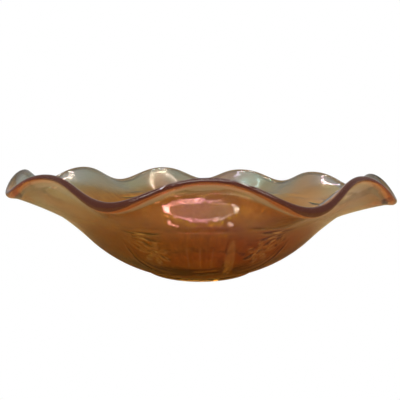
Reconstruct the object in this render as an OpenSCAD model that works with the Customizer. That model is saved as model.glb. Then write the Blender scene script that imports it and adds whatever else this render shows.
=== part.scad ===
// Ruffled bowl of pressed amber carnival glass.
// One pressing with a plain collar foot, a cup-shaped body with a raised flower pattern on
// its outside, and a flared skirt that was crimped by hand into ruffles while still hot.
// The nodes are the zones and raised features of that pressing. They meet face to face.
// The origin is the centre of the foot's flat face and +Z is up. Angles round the bowl start
// at the front, -Y, and grow towards +X.

/* [Foot] */
// Outer diameter of the collar foot, where the body's wall starts
foot_d = 96; // [84:1:116]
// Height of the collar foot
foot_h = 2; // [1.5:0.5:4]
// Radial width of the collar foot
foot_w = 4.5; // [3:0.5:8]
// Depth of the recess inside the collar
foot_recess = 1; // [0.5:0.1:1.4]
// Thickness of the glass where the wall starts
base_t = 6; // [5:0.1:7]
// Radial width of the bend between the flat floor and the wall
floor_bend = 10; // [6:1:20]

/* [Body] */
// Slope of the wall where it leaves the foot
foot_slope = 19; // [14:1:26]
// Diameter at the waist, where the cup turns into the flare
waist_d = 188; // [166:1:204]
// Height of the waist
waist_h = 32.5; // [28:0.5:38]
// Thickness of the glass from the waist up
wall_t = 3.4; // [2.8:0.1:4.1]

/* [Rim] */
// Mean diameter of the flare at its end, before the rounded rim
rim_d = 284; // [250:1:341]
// Mean height of the flare at its end
rim_h = 71.5; // [59:0.1:80]
// How far the fire-polished bead stands out from each face of the skirt, on the crests
bead_out = 0.2; // [0.1:0.1:1.5]
// How much the bead's radius grows in the troughs, where the hot glass gathered
bead_gather = 0.8; // [0:0.1:1.2]

/* [Ruffles] */
// Number of ruffles round the rim
ruffles = 9; // [6:1:12]
// Diameter at which the ruffles start
shoulder_d = 228; // [190:1:250]
// Rise and fall of the rim in a ruffle, each way from its mean
ruffle_z = 6.9; // [3:0.1:10]
// Movement of the rim in and out in a ruffle, each way from its mean
ruffle_r = 3.6; // [0:0.1:6]
// Rounding of the ruffles: broad crests and narrow troughs
ruffle_round = 0.8; // [0:0.1:1.5]
// Share by which the ruffles grow and shrink round the rim
ruffle_uneven = 0.12; // [0:0.01:0.25]
// Angle by which the ruffles crowd towards one side
ruffle_crowd = 1.8; // [0:0.1:4]

/* [Hand finish] */
// Sideways shift of the rim towards -X
rim_shift = 2.6; // [0:0.1:5]
// Ovalness of the rim
rim_oval = 3.2; // [0:0.1:6]
// Direction of the oval's long axis
rim_oval_at = 49; // [0:1:180]
// Tilt of the rim, as its rise at the high side
rim_tilt = 3; // [0:0.1:5]
// Direction of the rim's high side
rim_tilt_at = -43; // [-180:1:180]

/* [Pattern] */
// Number of mirrored pairs of flower sprays
spray_pairs = 3; // [2:1:3]
// Angle of the first pair's middle
pattern_turn = 3; // [-30:1:30]
// Height of the raised pattern
relief_h = 1; // [0.6:0.1:1.4]
// Number of blades in a leaf fan
blades = 5; // [3:1:6]
// Length of the longest blade
blade_l = 30; // [22:1:34]
// Width of the longest blade
blade_w = 3.2; // [2.4:0.1:3.4]
// Number of petals on a flower
petals = 7; // [5:1:9]
// Length of a petal
petal_l = 9; // [7:0.5:11]
// Diameter of a flower's centre
eye_d = 6; // [4:0.5:8]
// Width of a stem
stem_w = 2; // [1.4:0.1:3]
// Length of the tall leaf in the middle of a pair
tall_leaf_l = 44; // [34:1:48]
// Width of the tall leaf
tall_leaf_w = 8; // [6:0.5:10]
// Length of the bud below each pair
bud_l = 19; // [14:0.5:24]
// Width of the bud
bud_w = 7; // [5:0.5:9]
// Number of fine ribs beside each bud
ribs = 5; // [3:1:7]
// Width of a fine rib
rib_w = 1.2; // [0.8:0.1:1.6]

/* [Hidden] */

$fn = 144;
foot_r = foot_d / 2;
waist_r = waist_d / 2;
shoulder_r = shoulder_d / 2;
rim_r = rim_d / 2;
bead_r = wall_t / 2 + bead_out;

// The outside is two tangent arcs: the cup opens upwards to the waist, and the flare turns
// outwards from there.
waist_slope = 2 * atan((waist_h - foot_h) / (waist_r - foot_r)) - foot_slope;
rim_slope = 2 * atan((rim_h - waist_h) / (rim_r - waist_r)) - waist_slope;
cup_arc = (waist_r - foot_r) / (sin(waist_slope) - sin(foot_slope));
flare_arc = (rim_r - waist_r) / (sin(waist_slope) - sin(rim_slope));

// Facets
side_steps = 16 * ruffles;
cup_steps = 8;
flare_steps = 4;
skirt_steps = 6;
bead_steps = 7;
floor_steps = 5;

// Easing of the collar's lower corners
foot_edge = 0.6;

// Ruffle growth from the shoulder to the rim
ruffle_power = 0.9;

// Band of the wall that the pattern stands on
band_low_clear = 6;
band_high_clear = 0.5;
band_low_r = foot_r + band_low_clear;
band_high_r = shoulder_r - band_high_clear;

// Places in the pattern. It hangs from the roots of the leaf fans, and the bud stands on the foot.
fan_clear = 1;
fan_r = band_high_r - fan_clear;
fan_first = 80;
fan_step = 14;
blade_shrink = 0.09;
blade_gap = 3.5;
spray_at = 30;
flower_at = 10;
flower_drop = 17;
flower_r = fan_r - flower_drop;
petal_share = 0.62;
petal_root = 1.25;
stem_bow = 30;
stem_at = 26;
stem_drop = 20.5;
stem_r = fan_r - stem_drop;
stem_low = 10;
stem_high = 27;
tall_leaf_at = 9;
tall_leaf_drop = 24.5;
tall_leaf_r = fan_r - tall_leaf_drop;
tall_leaf_lean = -9;
bud_rise = 25;
bud_r = foot_r + bud_rise;
bud_lean = 78;
rib_step = 2.4;
rib_l = 20;
rib_drop = 20.5;
rib_r = fan_r - rib_drop;
rib_at = -3;

// Slope of the outside at a radius
function slope_at(r) = r < waist_r
    ? asin(sin(foot_slope) + (r - foot_r) / cup_arc)
    : asin(sin(waist_slope) - (r - waist_r) / flare_arc);

// Point of the outside at a radius, as [radius, height]
function outside(r) = r < waist_r
    ? [r, foot_h + cup_arc * (cos(foot_slope) - cos(slope_at(r)))]
    : [r, waist_h + flare_arc * (cos(slope_at(r)) - cos(waist_slope))];

// Direction out of the outer face's back, into the bowl
function inward(r) = [-sin(slope_at(r)), cos(slope_at(r))];

// Thickness of the glass, which thins from the foot to the waist
function glass_t(r) = wall_t + (base_t - wall_t) * pow(max(0, (waist_r - r) / (waist_r - foot_r)), 2);

// Point of the inside at the outer face's radius
function inside(r) = outside(r) + glass_t(r) * inward(r);

// Radii in even steps from one to another
function radii(r1, r2, steps) = [for (i = [0 : steps]) r1 + (r2 - r1) * i / steps];

// Radii at which the wall's facets meet, below and above the waist, where the pattern stands
cup_radii = radii(band_low_r, waist_r, cup_steps);
flare_radii = radii(waist_r, band_high_r, flare_steps);

// A list in the opposite order
function reversed(list) = [for (i = [len(list) - 1 : -1 : 0]) list[i]];

// How the rim moves out and up at an angle: its ruffles, and its shift, oval and tilt
function crowded(a) = ruffles * (a - ruffle_crowd * cos(a));
function swell(a) = 1 + ruffle_uneven * sin(2 * a);
function rim_out(a) = -ruffle_r * swell(a) * cos(crowded(a)) - rim_shift * sin(a)
    + rim_oval * cos(2 * (a - rim_oval_at));
function rim_up(a) = ruffle_z * swell(a) * cos(crowded(a)) - ruffle_round * cos(2 * crowded(a))
    + rim_tilt * cos(a - rim_tilt_at);

// A profile point swung round to an angle, with a share of the rim's movement
function swung(p, a, share) = let (r = p.x + share * rim_out(a))
    [r * sin(a), -r * cos(a), p.y + share * rim_up(a)];

// Radius of the bead at an angle
function bead_r_at(a) = bead_r + bead_gather * pow((1 - cos(crowded(a))) / 2, 2);

// Share of the rim's movement at a radius of the skirt
function skirt_share(r) = pow((r - shoulder_r) / (rim_r - shoulder_r), ruffle_power);

// A closed ring whose cross-sections are given in turn, each as a closed loop of points
module ring_of(sections) {
    turns = len(sections);
    sides = len(sections[0]);
    corners = [for (section = sections) each section];
    faces = [for (i = [0 : turns - 1], j = [0 : sides - 1])
        let (a = i * sides + j,
            b = i * sides + (j + 1) % sides,
            c = ((i + 1) % turns) * sides + (j + 1) % sides,
            d = ((i + 1) % turns) * sides + j)
        each [[a, b, c], [a, c, d]]];
    polyhedron(corners, faces);
}

// Pointed oval with its long axis along Y
module lens(length, width) {
    arc_r = (length * length + width * width) / (4 * width);
    intersection() {
        translate([arc_r - width / 2, 0]) circle(arc_r);
        translate([width / 2 - arc_r, 0]) circle(arc_r);
    }
}

// Puts a flat outline on the wall's plan at an angle and a radius. There +Y runs down the wall.
module on_wall(angle, r, turn = 0) {
    rotate(angle) translate([0, -r]) rotate(turn) children();
}

// Repeats an outline for every pair of sprays
module each_pair() {
    for (pair = [0 : spray_pairs - 1])
        rotate(pattern_turn + pair * 360 / spray_pairs) children();
}

// Repeats an outline for every spray, the second of a pair being the mirror image of the first
module each_spray() {
    each_pair() for (side = [0, 1])
        mirror([side, 0]) rotate(-spray_at) children();
}

// Flat outlines of one spray, which opens towards +X from its own middle
module eye_outline() {
    on_wall(flower_at, flower_r) circle(d = eye_d);
}

module petals_outline() {
    for (petal = [0 : petals - 1])
        on_wall(flower_at, flower_r, petal * 360 / petals)
            translate([0, eye_d / 2 - petal_root + petal_l / 2]) lens(petal_l, petal_l * petal_share);
}

module stem_outline() {
    translate([stem_at, -stem_r]) intersection() {
        difference() {
            circle(stem_bow);
            circle(stem_bow - stem_w);
        }
        translate([-stem_bow, -stem_low]) square([stem_bow, stem_low + stem_high]);
    }
}

module fan_outline() {
    for (blade = [0 : blades - 1]) {
        share = 1 - blade * blade_shrink;
        on_wall(0, fan_r, -(fan_first - blade * fan_step))
            translate([0, blade_gap + blade_l * share / 2]) lens(blade_l * share, blade_w * share);
    }
}

// All of one spray
module spray_outline() {
    eye_outline();
    petals_outline();
    stem_outline();
    fan_outline();
}

// Flat outlines of what stands in the middle of a pair
module tall_leaf_outline() {
    on_wall(tall_leaf_at, tall_leaf_r, tall_leaf_lean) lens(tall_leaf_l, tall_leaf_w);
}

module bud_outline() {
    on_wall(0, bud_r, bud_lean) lens(bud_l, bud_w);
}

module ribs_outline() {
    for (rib = [0 : ribs - 1])
        on_wall(rib_at + (rib - (ribs - 1) / 2) * rib_step, rib_r)
            square([rib_w, rib_l], center = true);
}

// A flat outline raised from the wall's outside by a height
module raised(height) {
    steps = concat(cup_radii, [for (i = [1 : flare_steps]) flare_radii[i]]);
    intersection() {
        linear_extrude(rim_h) children();
        rotate_extrude() polygon(concat(
            [for (r = steps) outside(r)],
            reversed([for (r = steps) outside(r) - height * inward(r)])));
    }
}

// Collar that the bowl stands on, with its lower corners eased
module foot_ring() {
    color("saddlebrown") rotate_extrude() polygon([
        [foot_r - foot_w, foot_edge], [foot_r - foot_w + foot_edge, 0], [foot_r - foot_edge, 0],
        [foot_r, foot_edge], [foot_r, foot_h], [foot_r - foot_w, foot_h]]);
}

// Floor of the bowl, which bends up to meet the wall's inside
module base_disc() {
    bend_arc = floor_bend / sin(foot_slope);
    flat = inside(foot_r) - [floor_bend, bend_arc * (1 - cos(foot_slope))];
    color("peru") rotate_extrude() polygon(concat(
        [[0, foot_recess], [foot_r - foot_w, foot_recess], [foot_r - foot_w, foot_h], outside(foot_r)],
        reversed([for (i = [0 : floor_steps]) let (bend = foot_slope * i / floor_steps)
            flat + bend_arc * [sin(bend), 1 - cos(bend)]]),
        [[0, flat.y]]));
}

// Wall between two radii of its outside, given as a list of the radii that its facets meet at
module wall(steps) {
    rotate_extrude() polygon(concat(
        [for (r = steps) outside(r)],
        reversed([for (r = steps) inside(r)])));
}

// Lower wall, from the foot to the waist
module cup_wall() {
    color("chocolate") wall(concat([foot_r], cup_radii));
}

// Upper wall, from the waist to where the ruffles start
module flare_wall() {
    color("darkorange") wall(concat(flare_radii, [shoulder_r]));
}

// Ruffled skirt from the shoulder to the rim
module ruffled_skirt() {
    steps = radii(shoulder_r, rim_r, skirt_steps);
    color("goldenrod") ring_of([for (i = [0 : side_steps - 1]) let (a = i * 360 / side_steps) concat(
        [for (r = steps) swung(outside(r), a, skirt_share(r))],
        reversed([for (r = steps) swung(inside(r), a, skirt_share(r))]))]);
}

// Rounded bead along the rim, flat where it meets the skirt
module rim_bead() {
    half = asin(wall_t / (2 * bead_r));
    along = [cos(rim_slope), sin(rim_slope)];
    middle = (outside(rim_r) + inside(rim_r)) / 2 + bead_r * cos(half) * along;
    color("sienna") ring_of([for (i = [0 : side_steps - 1]) let (a = i * 360 / side_steps) concat(
        [swung(outside(rim_r), a, 1)],
        [for (j = [1 : bead_steps]) let (turn = (180 - half) * (2 * j / (bead_steps + 1) - 1))
            swung(middle + bead_r_at(a) * (cos(turn) * along + sin(turn) * inward(rim_r)), a, 1)],
        [swung(inside(rim_r), a, 1)])]);
}

// Domed middles of the flowers
module flower_centres() {
    color("orange") raised(relief_h) each_spray() eye_outline();
}

// Petals round each flower's middle
module flower_petals() {
    color("gold") raised(relief_h * 0.8) each_spray() difference() {
        petals_outline();
        eye_outline();
    }
}

// Bowed stem of each spray
module flower_stems() {
    color("olive") raised(relief_h * 0.7) each_spray() difference() {
        stem_outline();
        petals_outline();
    }
}

// Fan of blade-shaped leaves at the top of each spray
module leaf_blades() {
    color("yellowgreen") raised(relief_h * 0.9) each_spray() difference() {
        fan_outline();
        eye_outline();
        petals_outline();
        stem_outline();
    }
}

// One tall leaf in the middle of each pair
module tall_leaves() {
    color("darkkhaki") raised(relief_h * 0.9) difference() {
        each_pair() tall_leaf_outline();
        each_spray() spray_outline();
    }
}

// Bud below each pair
module buds() {
    color("tan") raised(relief_h * 0.8) difference() {
        each_pair() bud_outline();
        each_pair() tall_leaf_outline();
        each_spray() spray_outline();
    }
}

// Fine upright ribs in the plain part between two sprays
module wall_ribs() {
    color("burlywood") raised(relief_h * 0.4) difference() {
        each_pair() ribs_outline();
        each_pair() tall_leaf_outline();
        each_pair() bud_outline();
        each_spray() spray_outline();
    }
}

foot_ring();
base_disc();
cup_wall();
flare_wall();
ruffled_skirt();
rim_bead();
flower_centres();
flower_petals();
flower_stems();
leaf_blades();
tall_leaves();
buds();
wall_ribs();
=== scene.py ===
"""Ruffled bowl of iridescent amber glass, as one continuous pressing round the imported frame."""

from __future__ import annotations

import logging
import math
from dataclasses import dataclass, field
from enum import Enum

import bpy
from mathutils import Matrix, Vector


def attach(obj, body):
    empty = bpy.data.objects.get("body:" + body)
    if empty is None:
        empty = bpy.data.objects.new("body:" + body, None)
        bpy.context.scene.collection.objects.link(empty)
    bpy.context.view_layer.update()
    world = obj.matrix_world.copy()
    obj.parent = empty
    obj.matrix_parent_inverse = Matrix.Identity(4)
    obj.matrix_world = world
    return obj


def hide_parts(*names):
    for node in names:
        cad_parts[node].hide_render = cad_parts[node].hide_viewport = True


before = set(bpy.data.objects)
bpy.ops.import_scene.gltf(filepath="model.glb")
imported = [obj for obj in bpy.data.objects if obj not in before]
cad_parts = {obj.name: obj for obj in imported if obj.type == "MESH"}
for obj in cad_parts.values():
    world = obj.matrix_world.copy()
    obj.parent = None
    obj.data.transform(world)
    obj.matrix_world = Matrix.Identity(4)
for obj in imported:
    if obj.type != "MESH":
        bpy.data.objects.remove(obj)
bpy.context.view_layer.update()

logging.basicConfig(level=logging.INFO, format="%(message)s")
log = logging.getLogger("bowl")

MM = 0.001


# ---------------------------------------------------------------- node arithmetic


@dataclass(frozen=True)
class Wire:
    """A number in a node tree, with arithmetic that adds the nodes it needs."""

    tree: bpy.types.NodeTree
    socket: bpy.types.NodeSocket

    def math(self, operation: str, *others: "Wire | float") -> "Wire":
        """A Math node fed by this wire and the others.

        Args:
            operation: The Math node's operation, such as ADD.
            others: The further inputs, as wires or plain numbers.

        Returns:
            The node's result.
        """
        node = self.tree.nodes.new("ShaderNodeMath")
        node.operation = operation
        for place, value in enumerate((self, *others)):
            if isinstance(value, Wire):
                self.tree.links.new(value.socket, node.inputs[place])
            else:
                node.inputs[place].default_value = value
        return Wire(self.tree, node.outputs[0])

    def __add__(self, other: "Wire | float") -> "Wire":
        """This plus other."""
        return self.math("ADD", other)

    __radd__ = __add__

    def __mul__(self, other: "Wire | float") -> "Wire":
        """This times other."""
        return self.math("MULTIPLY", other)

    __rmul__ = __mul__

    def __sub__(self, other: "Wire | float") -> "Wire":
        """This minus other."""
        return self.math("SUBTRACT", other)

    def __rsub__(self, other: float) -> "Wire":
        """Other minus this."""
        return self.math("MULTIPLY", -1.0) + other

    def __truediv__(self, other: "Wire | float") -> "Wire":
        """This divided by other."""
        return self.math("DIVIDE", other)

    def __neg__(self) -> "Wire":
        """Minus this."""
        return self.math("MULTIPLY", -1.0)

    def sin(self) -> "Wire":
        """Sine of an angle in radians."""
        return self.math("SINE")

    def cos(self) -> "Wire":
        """Cosine of an angle in radians."""
        return self.math("COSINE")

    def size(self) -> "Wire":
        """Absolute value."""
        return self.math("ABSOLUTE")

    def root(self) -> "Wire":
        """Square root."""
        return self.math("SQRT")

    def most(self, other: "Wire | float") -> "Wire":
        """The larger of this and other."""
        return self.math("MAXIMUM", other)

    def rise(self, low: "Wire | float", high: "Wire | float") -> "Wire":
        """A smooth step.

        Args:
            low: Value at which the step starts. It may be the larger of the two.
            high: Value at which the step ends.

        Returns:
            0 on the side of low, 1 on the side of high.
        """
        node = self.tree.nodes.new("ShaderNodeMapRange")
        node.interpolation_type = "SMOOTHSTEP"
        for name, value in (("Value", self), ("From Min", low), ("From Max", high)):
            if isinstance(value, Wire):
                self.tree.links.new(value.socket, node.inputs[name])
            else:
                node.inputs[name].default_value = value
        return Wire(self.tree, node.outputs["Result"])


def combined(x: Wire, y: Wire, z: Wire) -> bpy.types.NodeSocket:
    """A vector made of three wires.

    Args:
        x: First part.
        y: Second part.
        z: Third part.

    Returns:
        The vector's socket.
    """
    node = x.tree.nodes.new("ShaderNodeCombineXYZ")
    for wire, place in ((x, 0), (y, 1), (z, 2)):
        x.tree.links.new(wire.socket, node.inputs[place])
    return node.outputs[0]


def separated(tree: bpy.types.NodeTree, vector: bpy.types.NodeSocket) -> tuple[Wire, Wire, Wire]:
    """The parts of a vector.

    Args:
        tree: Tree that holds the vector.
        vector: The vector's socket.

    Returns:
        Its x, y and z.
    """
    node = tree.nodes.new("ShaderNodeSeparateXYZ")
    tree.links.new(vector, node.inputs[0])
    return tuple(Wire(tree, out) for out in node.outputs[:3])


# ---------------------------------------------------------------- sizes


@dataclass(frozen=True)
class WallSizes:
    """Sizes of the turned shape before it was ruffled, in millimetres and degrees."""

    foot_r: float = 48.0
    foot_h: float = 2.0
    foot_w: float = 4.5
    foot_recess: float = 1.0
    foot_edge: float = 0.6
    base_t: float = 6.0
    floor_bend: float = 10.0
    foot_slope: float = 19.0
    waist_r: float = 94.0
    waist_h: float = 32.5
    wall_t: float = 3.4
    rim_r: float = 142.0
    rim_h: float = 71.5
    shoulder_r: float = 114.0
    bead_out: float = 0.2
    bead_gather: float = 0.8
    bead_blend: float = 4.0
    mask_blend: float = 1.0

    @property
    def bead_r(self) -> float:
        """Radius of the bead where it is thinnest, on the crests of the ruffles."""
        return self.wall_t / 2 + self.bead_out

    @property
    def waist_slope(self) -> float:
        """Slope of the wall at the waist, where the two arcs meet."""
        rise, run = self.waist_h - self.foot_h, self.waist_r - self.foot_r
        return 2 * math.degrees(math.atan(rise / run)) - self.foot_slope

    @property
    def rim_slope(self) -> float:
        """Slope of the wall at its end."""
        rise, run = self.rim_h - self.waist_h, self.rim_r - self.waist_r
        return 2 * math.degrees(math.atan(rise / run)) - self.waist_slope

    def slope(self, r: float) -> float:
        """Slope of the outside.

        Args:
            r: Radius of the outside, in millimetres.

        Returns:
            The slope, in radians.
        """
        foot, waist, rim = (
            math.sin(math.radians(a)) for a in (self.foot_slope, self.waist_slope, self.rim_slope)
        )
        if r < self.waist_r:
            share = (r - self.foot_r) / (self.waist_r - self.foot_r)
            return math.asin(foot + (waist - foot) * share)
        share = (r - self.waist_r) / (self.rim_r - self.waist_r)
        return math.asin(waist + (rim - waist) * share)

    def outside(self, r: float) -> tuple[float, float]:
        """Point of the outside.

        Args:
            r: Radius of the outside, in millimetres.

        Returns:
            The point, as (radius, height).
        """
        foot, waist, rim = (math.radians(a) for a in (self.foot_slope, self.waist_slope, self.rim_slope))
        here = self.slope(r)
        if r < self.waist_r:
            arc = (self.waist_r - self.foot_r) / (math.sin(waist) - math.sin(foot))
            return r, self.foot_h + arc * (math.cos(foot) - math.cos(here))
        arc = (self.rim_r - self.waist_r) / (math.sin(waist) - math.sin(rim))
        return r, self.waist_h + arc * (math.cos(here) - math.cos(waist))

    def thickness(self, r: float) -> float:
        """Thickness of the glass at a radius."""
        share = max(0.0, (self.waist_r - r) / (self.waist_r - self.foot_r))
        return self.wall_t + (self.base_t - self.wall_t) * share**2

    def swell(self, r: float) -> float:
        """Share of the bead's own thickness that a face has near the rim."""
        return step_between(self.rim_r - self.bead_blend, self.rim_r, r)


@dataclass(frozen=True)
class RuffleSizes:
    """How the rim was crimped and how it settled, in millimetres and degrees."""

    count: int = 9
    rise: float = 6.9
    reach: float = 3.6
    rounding: float = 0.8
    uneven: float = 0.12
    crowd: float = 1.8
    power: float = 0.9
    shift: float = 2.6
    oval: float = 3.2
    oval_at: float = 49.0
    tilt: float = 3.0
    tilt_at: float = -43.0


@dataclass(frozen=True)
class PatternSizes:
    """Sizes and places of the raised pattern, in millimetres and degrees."""

    height: float = 0.8
    edge: float = 1.3
    pairs: int = 3
    turn: float = 3.0
    spray_at: float = 30.0
    band_low: float = 56.0
    band_fade: float = 2.0
    keel: float = 0.6
    end_fade: float = 3.0
    blades: int = 5
    blade_l: float = 30.0
    blade_w: float = 3.2
    blade_shrink: float = 0.09
    blade_gap: float = 3.5
    blade_height: float = 0.9
    fan_r: float = 112.5
    fan_first: float = 80.0
    fan_step: float = 14.0
    petals: int = 7
    petal_l: float = 9.0
    petal_share: float = 0.62
    petal_root: float = 1.25
    petal_height: float = 0.8
    petal_veins: int = 6
    vein_depth: float = 0.12
    eye_d: float = 6.0
    flower_at: float = 10.0
    flower_r: float = 95.5
    stem_w: float = 2.0
    stem_height: float = 0.5
    stem_bow: float = 30.0
    stem_x: float = 26.0
    stem_r: float = 92.0
    stem_low: float = -10.0
    stem_high: float = 27.0
    tall_l: float = 44.0
    tall_w: float = 8.0
    tall_height: float = 0.9
    tall_at: float = 9.0
    tall_r: float = 88.0
    tall_lean: float = -9.0
    bud_l: float = 19.0
    bud_w: float = 7.0
    bud_height: float = 0.8
    bud_r: float = 73.0
    bud_lean: float = 78.0
    ribs: int = 5
    rib_w: float = 1.2
    rib_height: float = 0.4
    rib_l: float = 20.0
    rib_r: float = 92.0
    rib_at: float = -3.0
    rib_step: float = 2.4


# ---------------------------------------------------------------- profile


class Face(Enum):
    """The face of the glass that a point of the profile lies on."""

    UNDER = "under"
    OUTER = "outer"
    BEAD = "bead"
    INNER = "inner"


@dataclass(frozen=True)
class ProfilePoint:
    """One point of the turned section.

    Attributes:
        r: Radius in millimetres.
        z: Height in millimetres.
        share: Share of the rim's movement that the point follows.
        face: The face that it lies on.
        normal: Direction out of the glass, as (radial, up).
        wall_r: Radius of the outside that it belongs to.
        bead: 1 on the rim's bead, 0 elsewhere.
        swell: 1 on the rim's bead, fading to 0 on the skirt.
    """

    r: float
    z: float
    share: float
    face: Face
    normal: tuple[float, float] = (0.0, 0.0)
    wall_r: float = 0.0
    bead: float = 0.0
    swell: float = 0.0


@dataclass(frozen=True)
class BowlProfile:
    """The section of the bowl from the middle of its underside over the rim to its floor."""

    sizes: WallSizes
    power: float
    under_steps: int = 5
    corner_steps: int = 3
    heel_steps: int = 6
    pattern_steps: int = 74
    skirt_steps: int = 21
    nose_steps: int = 12
    inner_skirt_steps: int = 16
    inner_wall_steps: int = 22
    bend_steps: int = 6
    floor_steps: int = 4
    pattern_low_r: float = 57.0

    def share(self, r: float) -> float:
        """Share of the rim's movement at a radius of the outside."""
        s = self.sizes
        return max(0.0, (r - s.shoulder_r) / (s.rim_r - s.shoulder_r)) ** self.power

    def face_point(self, r: float, face: Face) -> ProfilePoint:
        """Point of the outer or inner face.

        Args:
            r: Radius of the outside that the point belongs to.
            face: The face that it lies on, OUTER or INNER.

        Returns:
            The point, with its direction out of the glass.
        """
        s = self.sizes
        slope = s.slope(r)
        inward = (-math.sin(slope), math.cos(slope))
        x, z = s.outside(r)
        swell = s.swell(r)
        out = swell * s.bead_out
        depth = -out if face is Face.OUTER else s.thickness(r) + out
        sign = -1.0 if face is Face.OUTER else 1.0
        return ProfilePoint(
            x + depth * inward[0],
            z + depth * inward[1],
            self.share(r),
            face,
            (sign * inward[0], sign * inward[1]),
            r,
            step_between(s.rim_r - s.mask_blend, s.rim_r, r),
            swell,
        )

    def under(self) -> list[ProfilePoint]:
        """The recessed underside and the collar foot, with rounded corners.

        Returns:
            Its points, from the middle outwards.
        """
        s = self.sizes
        inner_r = s.foot_r - s.foot_w
        edge = s.foot_edge
        points = [(inner_r * i / self.under_steps, s.foot_recess) for i in range(self.under_steps)]
        points += [(inner_r - edge / 2, s.foot_recess)]
        for centre, start in (((inner_r + edge, edge), 180.0), ((s.foot_r - edge, edge), 270.0)):
            for i in range(self.corner_steps + 1):
                turn = math.radians(start + 90.0 * i / self.corner_steps)
                points.append((centre[0] + edge * math.cos(turn), centre[1] + edge * math.sin(turn)))
            if start < 270.0:
                points.append((s.foot_r - s.foot_w / 2, 0.0))
        points.append((s.foot_r, s.foot_h - edge / 2))
        return [ProfilePoint(r, z, 0.0, Face.UNDER) for r, z in points]

    def wall(self, face: Face, radii: list[float]) -> list[ProfilePoint]:
        """Points of one face at a list of radii of the outside."""
        return [self.face_point(r, face) for r in radii]

    def nose(self) -> list[ProfilePoint]:
        """The round nose of the rim.

        Returns:
            Its points, from the outer to the inner face.
        """
        s = self.sizes
        slope = math.radians(s.rim_slope)
        along, inward = (math.cos(slope), math.sin(slope)), (-math.sin(slope), math.cos(slope))
        x, z = s.outside(s.rim_r)
        start = math.sqrt(s.bead_r**2 - (s.wall_t / 2) ** 2)
        points = []
        for i in range(self.nose_steps + 1):
            turn = math.radians(-90.0 + 180.0 * i / self.nose_steps)
            c, n = math.cos(turn), math.sin(turn)
            out, side = start + s.bead_r * c, s.wall_t / 2 + s.bead_r * n
            points.append(
                ProfilePoint(
                    x + out * along[0] + side * inward[0],
                    z + out * along[1] + side * inward[1],
                    1.0,
                    Face.BEAD,
                    (c * along[0] + n * inward[0], c * along[1] + n * inward[1]),
                    bead=1.0,
                    swell=1.0,
                )
            )
        return points

    def floor(self) -> list[ProfilePoint]:
        """The bend from the wall's inside to the flat floor, and the floor itself.

        Returns:
            Their points, from the wall to the middle.
        """
        s = self.sizes
        start = self.face_point(s.foot_r, Face.INNER)
        slope = math.radians(s.foot_slope)
        arc = s.floor_bend / math.sin(slope)
        flat_r, flat_z = start.r - s.floor_bend, start.z - arc * (1 - math.cos(slope))
        bend = [slope * (1 - i / self.bend_steps) for i in range(1, self.bend_steps + 1)]
        points = [(flat_r + arc * math.sin(a), flat_z + arc * (1 - math.cos(a))) for a in bend]
        points += [(flat_r * (1 - i / self.floor_steps), flat_z) for i in range(1, self.floor_steps + 1)]
        return [ProfilePoint(r, z, 0.0, Face.INNER) for r, z in points]

    def points(self) -> list[ProfilePoint]:
        """The whole section.

        Returns:
            Its points in order, from the middle of the underside to the middle of the floor.
        """
        s = self.sizes
        heel = even(s.foot_r + s.foot_edge, self.pattern_low_r, self.heel_steps)
        pattern = even(self.pattern_low_r, s.shoulder_r, self.pattern_steps)[1:]
        skirt = even(s.shoulder_r, s.rim_r, self.skirt_steps)[1:]
        inner_skirt = even(s.rim_r, s.shoulder_r, self.inner_skirt_steps)
        inner_wall = even(s.shoulder_r, s.foot_r, self.inner_wall_steps)[1:]
        return (
            self.under()
            + self.wall(Face.OUTER, heel + pattern + skirt)
            + self.nose()
            + self.wall(Face.INNER, inner_skirt + inner_wall)
            + self.floor()
        )


def even(start: float, end: float, steps: int) -> list[float]:
    """Numbers in even steps, from start to end."""
    return [start + (end - start) * i / steps for i in range(steps + 1)]


# ---------------------------------------------------------------- raised pattern


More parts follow.
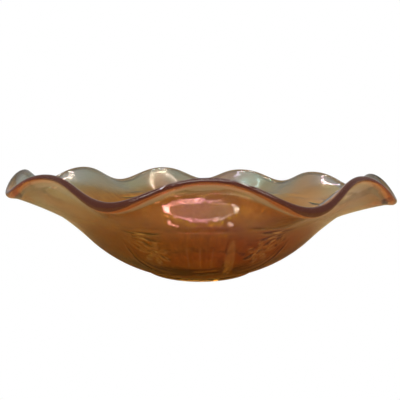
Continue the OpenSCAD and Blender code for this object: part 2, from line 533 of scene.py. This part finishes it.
@dataclass(frozen=True)
class RaisedPattern:
    """Height field of the flowers, leaves and ribs on the outside, from 0 to 1.

    The plan of the wall is flat: +X runs round the bowl and +Y down the wall, towards the foot.
    """

    sizes: PatternSizes

    def leaf(
        self, x: Wire, y: Wire, root: tuple[float, float], turn: float, shape: tuple[float, float, float]
    ) -> Wire:
        """A pointed leaf with a keel.

        Args:
            x: Plan place round the bowl.
            y: Plan place down the wall.
            root: Where the leaf's own axes start.
            turn: Direction of the leaf, in degrees from +Y.
            shape: Gap from the root to the leaf, its length and its width.

        Returns:
            Its height.
        """
        gap, length, width = shape
        c, s = math.cos(math.radians(turn)), math.sin(math.radians(turn))
        dx, dy = x - root[0], y - root[1]
        along = dy * c - dx * s - (gap + length / 2)
        across = (dx * c + dy * s).size()
        span = (1.0 - (along * (2 / length)).math("POWER", 2.0)) * (width / 2)
        keel = 1.0 - across / span.most(0.05)
        return (span - across).rise(-0.2, self.sizes.edge) * (
            (1 - self.sizes.keel) + self.sizes.keel * keel.most(0.0)
        )

    def flower(self, x: Wire, y: Wire) -> Wire:
        """Petals round a domed middle.

        Args:
            x: Plan place round the bowl.
            y: Plan place down the wall.

        Returns:
            The flower's height.
        """
        s = self.sizes
        at = math.radians(s.flower_at)
        dx, dy = x - s.flower_r * math.sin(at), y + s.flower_r * math.cos(at)
        reach = (dx * dx + dy * dy).root()
        half = math.pi / s.petals
        turned = dx.math("ARCTAN2", dy) + at
        folded = turned.math("WRAP", half, -half)
        across, along = reach * folded.sin(), reach * folded.cos()
        petal = self.leaf(
            across,
            along,
            (0.0, 0.0),
            0.0,
            (s.eye_d / 2 - s.petal_root, s.petal_l, s.petal_l * s.petal_share),
        )
        veins = (turned * (s.petals * s.petal_veins)).cos() * s.vein_depth + (1 - s.vein_depth)
        eye = (1.0 - (reach * (2 / s.eye_d)).math("POWER", 2.0)).most(0.0).root()
        return (petal * veins * s.petal_height).most(eye)

    def stem(self, x: Wire, y: Wire) -> Wire:
        """The bowed stem.

        Args:
            x: Plan place round the bowl.
            y: Plan place down the wall.

        Returns:
            The stem's height.
        """
        s = self.sizes
        dx, dy = x - s.stem_x, y + s.stem_r
        off = ((dx * dx + dy * dy).root() - (s.stem_bow - s.stem_w / 2)).size()
        ends = (dy - s.stem_low).rise(0.0, s.end_fade) * (s.stem_high - dy).rise(0.0, s.end_fade)
        return (s.stem_w / 2 - off).rise(0.0, 0.9) * dx.rise(0.5, 0.0) * ends * s.stem_height

    def spray(self, x: Wire, y: Wire) -> Wire:
        """Leaf fan, flower and stem of one spray.

        Args:
            x: Plan place round the bowl, from the spray's own line.
            y: Plan place down the wall.

        Returns:
            The spray's height.
        """
        s = self.sizes
        made = self.flower(x, y).most(self.stem(x, y))
        for blade in range(s.blades):
            share = 1 - blade * s.blade_shrink
            shape = (s.blade_gap, s.blade_l * share, s.blade_w * share)
            turn = -(s.fan_first - blade * s.fan_step)
            made = made.most(self.leaf(x, y, (0.0, -s.fan_r), turn, shape) * s.blade_height)
        return made

    def middle(self, angle: Wire, radius: Wire) -> Wire:
        """Tall leaf, bud and fine ribs between the two sprays of a pair.

        Args:
            angle: Angle round the bowl, from the middle of the pair.
            radius: Radius of the outside, in millimetres.

        Returns:
            Their height.
        """
        s = self.sizes
        x, y = radius * angle.sin(), -(radius * angle.cos())
        at = math.radians(s.tall_at)
        tall = self.leaf(
            x,
            y,
            (s.tall_r * math.sin(at), -s.tall_r * math.cos(at)),
            s.tall_at + s.tall_lean,
            (-s.tall_l / 2, s.tall_l, s.tall_w),
        )
        bud = self.leaf(x, y, (0.0, -s.bud_r), s.bud_lean, (-s.bud_l / 2, s.bud_l, s.bud_w))
        step = math.radians(s.rib_step)
        place = angle - math.radians(s.rib_at)
        off = (place.math("WRAP", step / 2, -step / 2) * radius).size()
        inside = (step * s.ribs / 2 - place.size()).rise(0.0, 0.01)
        ends = (s.rib_l / 2 - (y + s.rib_r).size()).rise(0.0, s.end_fade)
        ribs = (s.rib_w / 2 - off).rise(-0.2, 0.5) * inside * ends * s.rib_height
        return (tall * s.tall_height).most(bud * s.bud_height).most(ribs)

    def height(self, angle: Wire, radius: Wire) -> Wire:
        """The whole pattern.

        Args:
            angle: Angle round the bowl, in radians.
            radius: Radius of the outside, in millimetres.

        Returns:
            Its height.
        """
        s = self.sizes
        half = math.pi / s.pairs
        pair = (angle - math.radians(s.turn)).math("WRAP", half, -half)
        spray = math.radians(s.spray_at) - pair.size()
        made = self.spray(radius * spray.sin(), -(radius * spray.cos()))
        return made.most(self.middle(pair, radius))


# ---------------------------------------------------------------- geometry nodes


@dataclass
class BowlTree:
    """Geometry Nodes that swing the section round, ruffle the skirt and raise the pattern."""

    ruffles: RuffleSizes
    pattern: PatternSizes
    gather: float
    sides: int
    rings: int
    weld: float = 0.002
    values: dict[str, float] = field(default_factory=dict)

    def number(self, tree: bpy.types.NodeTree, source: bpy.types.Node, name: str, value: float) -> Wire:
        """A named number input of the tree.

        Args:
            tree: The tree.
            source: Its Group Input node.
            name: The input's name.
            value: The value that the modifier gives it.

        Returns:
            The input's wire.
        """
        tree.interface.new_socket(name, in_out="INPUT", socket_type="NodeSocketFloat")
        self.values[name] = value
        return Wire(tree, source.outputs[name])

    def sampled(
        self, tree: bpy.types.NodeTree, section: bpy.types.NodeSocket, row: Wire, name: str, kind: str
    ) -> bpy.types.NodeSocket:
        """A value of the section's point in a row.

        Args:
            tree: The tree.
            section: The section's mesh.
            row: Number of the point.
            name: Attribute to read, or nothing for the point's position.
            kind: Type of the value.

        Returns:
            The value's socket.
        """
        pick = tree.nodes.new("GeometryNodeSampleIndex")
        pick.data_type, pick.domain = kind, "POINT"
        if name:
            value = tree.nodes.new("GeometryNodeInputNamedAttribute")
            value.data_type = kind
            value.inputs["Name"].default_value = name
        else:
            value = tree.nodes.new("GeometryNodeInputPosition")
        tree.links.new(section, pick.inputs["Geometry"])
        tree.links.new(value.outputs[0], pick.inputs["Value"])
        tree.links.new(row.socket, pick.inputs["Index"])
        return pick.outputs[0]

    def build(self, finish: bpy.types.Material) -> bpy.types.NodeTree:
        """The node tree.

        Args:
            finish: Material for the glass.

        Returns:
            The tree, whose first input is the section's mesh.
        """
        tree = bpy.data.node_groups.new("ruffled_bowl", "GeometryNodeTree")
        tree.interface.new_socket("Section", in_out="INPUT", socket_type="NodeSocketGeometry")
        tree.interface.new_socket("Bowl", in_out="OUTPUT", socket_type="NodeSocketGeometry")
        source = tree.nodes.new("NodeGroupInput")
        r = self.ruffles
        sizes = {
            "Ruffles": r.count,
            "Ruffle rise": r.rise * MM,
            "Ruffle reach": r.reach * MM,
            "Ruffle rounding": r.rounding * MM,
            "Ruffle unevenness": r.uneven,
            "Ruffle crowding": math.radians(r.crowd),
            "Rim shift": r.shift * MM,
            "Rim oval": r.oval * MM,
            "Rim oval direction": math.radians(r.oval_at),
            "Rim tilt": r.tilt * MM,
            "Rim tilt direction": math.radians(r.tilt_at),
            "Bead gather": self.gather * MM,
            "Pattern height": self.pattern.height * MM,
        }
        inputs = {name: self.number(tree, source, name, value) for name, value in sizes.items()}
        section = source.outputs["Section"]

        grid = tree.nodes.new("GeometryNodeMeshGrid")
        grid.inputs["Vertices X"].default_value = self.sides + 1
        grid.inputs["Vertices Y"].default_value = self.rings
        index = Wire(tree, tree.nodes.new("GeometryNodeInputIndex").outputs[0])
        row = index.math("MODULO", float(self.rings))
        angle = (index / float(self.rings)).math("FLOOR") * (2 * math.pi / self.sides)

        radius, _, height = separated(tree, self.sampled(tree, section, row, "", "FLOAT_VECTOR"))
        out_r, _, out_z = separated(tree, self.sampled(tree, section, row, "out", "FLOAT_VECTOR"))
        share = Wire(tree, self.sampled(tree, section, row, "share", "FLOAT"))
        band = Wire(tree, self.sampled(tree, section, row, "band", "FLOAT"))
        wall_r = Wire(tree, self.sampled(tree, section, row, "wall_r", "FLOAT"))
        bead = Wire(tree, self.sampled(tree, section, row, "bead", "FLOAT"))
        inner = Wire(tree, self.sampled(tree, section, row, "inner", "FLOAT"))
        thick = Wire(tree, self.sampled(tree, section, row, "swell", "FLOAT"))

        crowded = (angle - inputs["Ruffle crowding"] * angle.cos()) * inputs["Ruffles"]
        swell = inputs["Ruffle unevenness"] * (angle * 2.0).sin() + 1.0
        out = (
            -(inputs["Ruffle reach"] * swell * crowded.cos())
            - inputs["Rim shift"] * angle.sin()
            + inputs["Rim oval"] * ((angle - inputs["Rim oval direction"]) * 2.0).cos()
        )
        up = (
            inputs["Ruffle rise"] * swell * crowded.cos()
            - inputs["Ruffle rounding"] * (crowded * 2.0).cos()
            + inputs["Rim tilt"] * (angle - inputs["Rim tilt direction"]).cos()
        )
        raised = RaisedPattern(self.pattern).height(angle, wall_r / MM) * band
        trough = ((1.0 - crowded.cos()) * 0.5).math("POWER", 2.0)
        lift = raised * inputs["Pattern height"] + trough * thick * inputs["Bead gather"]
        reach = radius + share * out + lift * out_r
        place = tree.nodes.new("GeometryNodeSetPosition")
        tree.links.new(grid.outputs["Mesh"], place.inputs["Geometry"])
        tree.links.new(
            combined(reach * angle.sin(), -(reach * angle.cos()), height + share * up + lift * out_z),
            place.inputs["Position"],
        )
        kept = place
        for name, value in (("raised", raised), ("bead", bead), ("inner", inner)):
            before, kept = kept, tree.nodes.new("GeometryNodeStoreNamedAttribute")
            kept.data_type, kept.domain = "FLOAT", "POINT"
            kept.inputs["Name"].default_value = name
            tree.links.new(before.outputs[0], kept.inputs["Geometry"])
            tree.links.new(value.socket, kept.inputs["Value"])

        closed = tree.nodes.new("GeometryNodeMergeByDistance")
        closed.inputs["Distance"].default_value = self.weld * MM
        smooth = tree.nodes.new("GeometryNodeSetShadeSmooth")
        real = tree.nodes.new("GeometryNodeRealizeInstances")
        dressed = tree.nodes.new("GeometryNodeSetMaterial")
        dressed.inputs["Material"].default_value = finish
        end = tree.nodes.new("NodeGroupOutput")
        chain = (kept, closed, smooth, real, dressed, end)
        for before, after in zip(chain, chain[1:]):
            tree.links.new(before.outputs[0], after.inputs[0])
        return tree


@dataclass
class Bowl:
    """The whole pressing: foot, walls, raised pattern, skirt and rim in one closed skin of glass."""

    wall: WallSizes = field(default_factory=WallSizes)
    ruffles: RuffleSizes = field(default_factory=RuffleSizes)
    pattern: PatternSizes = field(default_factory=PatternSizes)
    sides: int = 540

    def section(self) -> bpy.types.Mesh:
        """The section as a chain of points that carry what the nodes read.

        Returns:
            The mesh, which has points only.
        """
        points = BowlProfile(self.wall, self.ruffles.power).points()
        mesh = bpy.data.meshes.new("bowl_section")
        mesh.from_pydata([(p.r * MM, 0, p.z * MM) for p in points], [], [])
        p = self.pattern
        band = [
            float(q.face is Face.OUTER) * step_between(p.band_low, p.band_low + p.band_fade, q.wall_r)
            for q in points
        ]
        for name, values in (
            ("bead", [q.bead for q in points]),
            ("swell", [q.swell for q in points]),
            ("inner", [float(q.face is Face.INNER) for q in points]),
            ("share", [q.share for q in points]),
            ("band", band),
            ("wall_r", [q.wall_r * MM for q in points]),
        ):
            mesh.attributes.new(name, "FLOAT", "POINT").data.foreach_set("value", values)
        out = mesh.attributes.new("out", "FLOAT_VECTOR", "POINT")
        out.data.foreach_set("vector", [v for q in points for v in (q.normal[0], 0.0, q.normal[1])])
        return mesh

    def build(self, finish: bpy.types.Material) -> bpy.types.Object:
        """The finished glass as a plain mesh.

        Args:
            finish: Material for the glass.

        Returns:
            The object, at the origin.
        """
        section = self.section()
        bowl = bpy.data.objects.new("bowl_glass", section)
        bpy.context.scene.collection.objects.link(bowl)
        tree = BowlTree(
            self.ruffles, self.pattern, self.wall.bead_gather, self.sides, len(section.vertices)
        )
        nodes = bowl.modifiers.new("ruffled_bowl", "NODES")
        nodes.node_group = tree.build(finish)
        for item in nodes.node_group.interface.items_tree:
            if item.name in tree.values:
                nodes[item.identifier] = float(tree.values[item.name])
        ready = bowl.evaluated_get(bpy.context.evaluated_depsgraph_get())
        mesh = bpy.data.meshes.new_from_object(ready)
        bowl.modifiers.clear()
        bowl.data = mesh
        bpy.data.meshes.remove(section)
        return bowl


def step_between(low: float, high: float, value: float) -> float:
    """A smooth step.

    Args:
        low: Value at which the step starts.
        high: Value at which the step ends.
        value: The value to place.

    Returns:
        0 below low, 1 above high.
    """
    share = min(1.0, max(0.0, (value - low) / (high - low)))
    return share * share * (3 - 2 * share)


# ---------------------------------------------------------------- finishes


Colour = tuple[float, float, float]


@dataclass(frozen=True)
class Clouds:
    """A soft noise, as its scale per metre and its seed."""

    scale: float
    seed: float


@dataclass(frozen=True)
class Zones:
    """Where the finish changes, in metres from the bowl's middle, as the two ends of a smooth step."""

    skirt_r: tuple[float, float] = (0.100, 0.124)
    # Radii of the painted shade band under the front rim.
    lip_shade_r: tuple[float, float] = (0.128, 0.138)
    # Side-on ends of the skirt, which get a painted pale reflection.
    wing_x: tuple[float, float] = (0.105, 0.135)
    # tip_x and back_y mark the rim that gets a painted grey sheen.
    tip_x: tuple[float, float] = (0.122, 0.134)
    back_y: tuple[float, float] = (-0.08, 0.0)
    satin_y: tuple[float, float] = (0.0, 0.09)
    foot_z: tuple[float, float] = (0.004, 0.001)
    skirt_waver: float = 0.02
    skirt_lean: float = 0.08


@dataclass(frozen=True)
class IridescentAmber:
    """Amber glass under a thin iridescent film that is heavy on the body and light on the skirt.

    The tints colour the light that passes, film sizes are in nanometres, and the film leans and bows
    with x in metres. Some of the colour is painted light: a painted shade band under the front rim,
    a painted grey sheen on the rim at the back and ends, a painted pale reflection on the side-on
    wing ends and painted highlights on the worn ridges of the pattern. The two glows stand in for
    the light that the glass gathers at its edges, on the front rim and on the ridges: painted light.
    """

    body_tint: Colour = (0.80, 0.39, 0.03)
    dark_tint: Colour = (0.60, 0.24, 0.01)
    # Painted shade: a darker amber band just under the front rim.
    lip_painted_shade: Colour = (0.70, 0.38, 0.14)
    # Painted sheen: the rim at the back and side ends is tinted neutral grey instead of amber.
    rim_painted_sheen: Colour = (0.42, 0.40, 0.38)
    # Painted reflection: the side-on wing ends are paled towards grey.
    wing_painted_reflection: Colour = (0.80, 0.93, 0.95)
    skirt_tint: Colour = (0.79, 0.74, 0.62)
    peach_tint: Colour = (0.95, 0.66, 0.42)
    sage_tint: Colour = (0.70, 0.80, 0.72)
    # Ridge crests: partly film worn off the pattern, partly a painted highlight along the crests.
    wear_and_highlight_tint: Colour = (1.0, 0.88, 0.42)
    foot_tint: Colour = (1.0, 0.90, 0.75)
    no_glow: Colour = (0.0, 0.0, 0.0)
    # Painted glow: the front rim and the ridge crests give light of their own.
    rim_glow: Colour = (0.07, 0.012, 0.003)
    ridge_painted_glint: Colour = (0.035, 0.016, 0.002)
    depth_colour: Colour = (0.73, 0.39, 0.08)
    depth: float = 105.0
    ior: float = 1.52
    gloss: float = 0.03
    satin: float = 0.17
    # Crest mask for real wear, painted highlight and painted glint on the ridges.
    wear_low: float = 0.1
    wear_high: float = 0.5
    wear_and_highlight_share: float = 0.8
    wear_satin: float = 0.5
    film_ior: float = 1.75
    film_inside: float = 490.0
    film_outside: float = 306.0
    film_spread: float = 90.0
    film_lean: float = 690.0
    film_bow: float = 4000.0
    grain_height: float = 0.0004
    grain_strength: float = 0.12
    run_stretch: float = 3.0
    patches: Clouds = Clouds(22.0, 1.0)
    blushes: Clouds = Clouds(14.0, 5.0)
    runs: Clouds = Clouds(55.0, 2.0)
    films: Clouds = Clouds(9.0, 3.0)
    grain: Clouds = Clouds(260.0, 7.0)
    zones: Zones = Zones()

    def carried(self, tree: bpy.types.NodeTree, name: str) -> Wire:
        """A number that the mesh carries.

        Args:
            tree: The material's tree.
            name: The attribute's name.

        Returns:
            The number.
        """
        node = tree.nodes.new("ShaderNodeAttribute")
        node.attribute_name = name
        return Wire(tree, node.outputs["Fac"])

    def mixed(
        self,
        share: Wire,
        low: bpy.types.NodeSocket | Colour,
        high: bpy.types.NodeSocket | Colour,
    ) -> bpy.types.NodeSocket:
        """A colour between two others.

        Args:
            share: How much of high there is.
            low: Colour where share is 0.
            high: Colour where share is 1.

        Returns:
            The colour's socket.
        """
        mix = share.tree.nodes.new("ShaderNodeMix")
        mix.data_type = "RGBA"
        share.tree.links.new(share.socket, mix.inputs["Factor"])
        for colour, place in ((low, 6), (high, 7)):
            if isinstance(colour, tuple):
                mix.inputs[place].default_value = (*colour, 1)
            else:
                share.tree.links.new(colour, mix.inputs[place])
        return mix.outputs[2]

    def cloud(self, tree: bpy.types.NodeTree, place: bpy.types.NodeSocket, clouds: Clouds) -> Wire:
        """Soft patches.

        Args:
            tree: The material's tree.
            place: Where the noise is read.
            clouds: Its scale and seed.

        Returns:
            A number from 0 to 1.
        """
        noise = tree.nodes.new("ShaderNodeTexNoise")
        noise.noise_dimensions = "4D"
        noise.inputs["W"].default_value = clouds.seed
        noise.inputs["Scale"].default_value = clouds.scale
        noise.inputs["Detail"].default_value = 2.0
        tree.links.new(place, noise.inputs["Vector"])
        return Wire(tree, noise.outputs["Fac"])

    def build(self) -> bpy.types.Material:
        """The finish.

        Returns:
            The material.
        """
        material = bpy.data.materials.new("iridescent_amber")
        material.use_nodes = True
        tree = material.node_tree
        shader = next(n for n in tree.nodes if n.type == "BSDF_PRINCIPLED")
        output = next(n for n in tree.nodes if n.type == "OUTPUT_MATERIAL")
        place = tree.nodes.new("ShaderNodeTexCoord").outputs["Object"]
        zones = self.zones
        x, y, z = separated(tree, place)
        radius = (x * x + y * y).root()
        rim, inner, raised = (self.carried(tree, name) for name in ("bead", "inner", "raised"))
        # Ridge crests: real wear of the film, plus painted highlights and a painted glint.
        wear_and_glint = raised.rise(self.wear_low, self.wear_high)
        patch = self.cloud(tree, place, self.patches)
        blush = self.cloud(tree, place, self.blushes)
        runs = self.cloud(tree, combined(x / radius, y / radius, z * self.run_stretch), self.runs)
        upper = (radius + (patch - 0.5) * zones.skirt_waver + x * zones.skirt_lean).rise(*zones.skirt_r)
        # Mask of the painted pale reflection on the wing ends.
        wing = x.size().rise(*zones.wing_x)
        # Back and side-on ends: the rim there gets painted grey sheen, while the front gets the painted
        # shade band and glow.
        back = y.rise(*zones.back_y).most(x.size().rise(*zones.tip_x))
        # Mask of the painted shade band under the rim, on the outside and at the front only.
        lip = radius.rise(*zones.lip_shade_r) * (1.0 - inner) * (1.0 - back)

        skirt = self.mixed(patch.rise(0.35, 0.65), self.sage_tint, self.skirt_tint)
        skirt = self.mixed(blush.rise(0.48, 0.66), skirt, self.peach_tint)
        # Painted pale reflection on the wing ends.
        skirt = self.mixed(wing, skirt, self.wing_painted_reflection)
        body = self.mixed(runs.rise(0.35, 0.65), self.dark_tint, self.body_tint)
        colour = self.mixed(upper, body, skirt)
        # Painted shade band under the front rim.
        colour = self.mixed(lip, colour, self.lip_painted_shade)
        # Painted grey sheen on the rim at the back and ends.
        colour = self.mixed(rim * back, colour, self.rim_painted_sheen)
        # Worn film and painted highlight on the ridge crests.
        colour = self.mixed(wear_and_glint * self.wear_and_highlight_share, colour, self.wear_and_highlight_tint)
        colour = self.mixed(z.rise(*zones.foot_z), colour, self.foot_tint)
        tree.links.new(colour, shader.inputs["Base Color"])

        satin = (upper * y.rise(*zones.satin_y) * (1.0 - rim)).most(wear_and_glint * self.wear_satin)
        tree.links.new((satin * (self.satin - self.gloss) + self.gloss).socket, shader.inputs["Roughness"])

        # Painted glow on the front rim and a painted glint on the ridge crests.
        glow = self.mixed(rim * (1.0 - back), self.no_glow, self.rim_glow)
        glow = self.mixed(wear_and_glint, glow, self.ridge_painted_glint)
        tree.links.new(glow, shader.inputs["Emission Color"])
        shader.inputs["Emission Strength"].default_value = 1.0

        grain = tree.nodes.new("ShaderNodeBump")
        grain.inputs["Distance"].default_value = self.grain_height
        grain.inputs["Strength"].default_value = self.grain_strength
        tree.links.new(self.cloud(tree, place, self.grain).socket, grain.inputs["Height"])
        tree.links.new(grain.outputs[0], shader.inputs["Normal"])

        film = (self.cloud(tree, place, self.films) - 0.5) * self.film_spread + x * self.film_lean
        film = film + self.film_outside + (self.film_inside - self.film_outside) * inner
        film = film + x * x * self.film_bow * inner
        tree.links.new((film * (1.0 - rim)).socket, shader.inputs["Thin Film Thickness"])
        shader.inputs["Thin Film IOR"].default_value = self.film_ior
        shader.inputs["IOR"].default_value = self.ior
        shader.inputs["Transmission Weight"].default_value = 1.0

        volume = tree.nodes.new("ShaderNodeVolumeAbsorption")
        volume.inputs["Color"].default_value = (*self.depth_colour, 1)
        volume.inputs["Density"].default_value = self.depth
        tree.links.new(volume.outputs[0], output.inputs["Volume"])
        return material


# ---------------------------------------------------------------- studio


@dataclass(frozen=True)
class Panel:
    """A rectangular area light, in metres and watts.

    Attributes:
        name: Its name.
        place: Its middle.
        size: Its width and depth.
        power: Its power.
        aim: The point that it faces.
    """

    name: str
    place: tuple[float, float, float]
    size: tuple[float, float]
    power: float
    aim: tuple[float, float, float]

    def build(self) -> None:
        """Adds the light."""
        data = bpy.data.lights.new(self.name, "AREA")
        data.shape = "RECTANGLE"
        data.size, data.size_y = self.size
        data.energy = self.power
        obj = bpy.data.objects.new(self.name, data)
        obj.location = self.place
        facing = Vector(self.aim) - Vector(self.place)
        obj.rotation_euler = facing.to_track_quat("-Z", "Y").to_euler()
        bpy.context.scene.collection.objects.link(obj)


def overhead(name: str, x: float, y: float, size: tuple[float, float], power: float) -> Panel:
    """A narrow panel above the bowl that faces straight down."""
    return Panel(name, (x, y, 0.88), size, power, (x, y, 0.0))


@dataclass(frozen=True)
class Studio:
    """Floor, lights and camera."""

    camera_place: tuple[float, float, float] = (0.0, -0.3116, 0.0938)
    camera_pitch: float = 6.87
    lens: float = 32.76
    sensor: float = 36.0
    floor_half: float = 0.8
    floor_tint: Colour = (0.54, 0.40, 0.18)
    floor_roughness: float = 0.8
    surround_tint: Colour = (0.97, 1.0, 0.96)
    surround_strength: float = 0.38
    softbox: Panel = Panel("softbox", (0.0, -0.2, 0.9), (0.66, 0.5), 1.1, (0.0, -0.2, 0.0))
    pane_step: float = 0.36
    pane_y: float = -0.55
    pane_z: float = 0.62
    pane_size: tuple[float, float] = (0.24, 0.14)
    pane_power: float = 0.9
    pane_aim: tuple[float, float, float] = (0.0, 0.0, 0.05)
    strips: tuple[Panel, ...] = (
        overhead("edge_back", 0.0, 0.056, (0.7, 0.012), 1.1),
        overhead("edge_left", -0.34, -0.2, (0.02, 0.5), 1.1),
        overhead("edge_right", 0.32, -0.2, (0.05, 0.5), 2.0),
        overhead("strip_back", 0.0, 0.27, (0.5, 0.015), 0.7),
    )

    def unshaded(
        self, tree: bpy.types.NodeTree, shaded: bpy.types.NodeSocket, kind: str
    ) -> bpy.types.NodeSocket:
        """A shading that shows as even white where nothing stands before it.

        Args:
            tree: The tree that holds it.
            shaded: The shading that lights the bowl.
            kind: Node type of the white, emission or background.

        Returns:
            The mixed shading.
        """
        path = tree.nodes.new("ShaderNodeLightPath")
        plain = tree.nodes.new(kind)
        plain.inputs["Color"].default_value = (1, 1, 1, 1)
        plain.inputs["Strength"].default_value = 1.0
        mix = tree.nodes.new("ShaderNodeMixShader")
        tree.links.new(path.outputs["Is Camera Ray"], mix.inputs[0])
        tree.links.new(shaded, mix.inputs[1])
        tree.links.new(plain.outputs[0], mix.inputs[2])
        return mix.outputs[0]

    def floor(self) -> None:
        """A plain floor, tan to the glass and white to the camera."""
        half = self.floor_half
        corners = [(-half, -half, 0), (half, -half, 0), (half, half, 0), (-half, half, 0)]
        mesh = bpy.data.meshes.new("floor")
        mesh.from_pydata(corners, [], [(0, 1, 2, 3)])
        obj = bpy.data.objects.new("floor", mesh)
        bpy.context.scene.collection.objects.link(obj)
        material = bpy.data.materials.new("pale_floor")
        material.use_nodes = True
        tree = material.node_tree
        shader = tree.nodes["Principled BSDF"]
        shader.inputs["Base Color"].default_value = (*self.floor_tint, 1)
        shader.inputs["Roughness"].default_value = self.floor_roughness
        white = self.unshaded(tree, shader.outputs[0], "ShaderNodeEmission")
        tree.links.new(white, tree.nodes["Material Output"].inputs["Surface"])
        mesh.materials.append(material)

    def lights(self) -> list[Panel]:
        """All the lights.

        Returns:
            The softbox, three panes in front and the narrow strips.
        """
        panes = [
            Panel(
                f"pane_{number}",
                (self.pane_step * (number - 1), self.pane_y, self.pane_z),
                self.pane_size,
                self.pane_power,
                self.pane_aim,
            )
            for number in range(3)
        ]
        return [self.softbox, *panes, *self.strips]

    def world(self) -> None:
        """An even pale surrounding."""
        world = bpy.data.worlds.new("surround")
        world.use_nodes = True
        tree = world.node_tree
        back = tree.nodes["Background"]
        back.inputs["Color"].default_value = (*self.surround_tint, 1)
        back.inputs["Strength"].default_value = self.surround_strength
        white = self.unshaded(tree, back.outputs[0], "ShaderNodeBackground")
        tree.links.new(white, tree.nodes["World Output"].inputs["Surface"])
        bpy.context.scene.world = world

    def camera(self) -> None:
        """The camera, a little above the rim."""
        data = bpy.data.cameras.new("camera")
        data.lens, data.sensor_width = self.lens, self.sensor
        obj = bpy.data.objects.new("camera", data)
        obj.location = self.camera_place
        obj.rotation_euler = (math.radians(90 - self.camera_pitch), 0, 0)
        bpy.context.scene.collection.objects.link(obj)
        bpy.context.scene.camera = obj

    def build(self) -> None:
        """Everything round the bowl."""
        self.camera()
        self.world()
        self.floor()
        for panel in self.lights():
            panel.build()
        bpy.context.scene.view_settings.view_transform = "Standard"


def report(piece: bpy.types.Object) -> None:
    """Says how large a mesh is.

    Args:
        piece: The object that holds it.
    """
    triangles = sum(len(p.vertices) - 2 for p in piece.data.polygons)
    log.info("%s: %d triangles", piece.name, triangles)


def main() -> None:
    """Builds the bowl and the studio."""
    Studio().build()
    bowl = Bowl().build(IridescentAmber().build())
    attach(bowl, "root")
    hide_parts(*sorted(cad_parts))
    report(bowl)


if __name__ == "__main__":
    main()
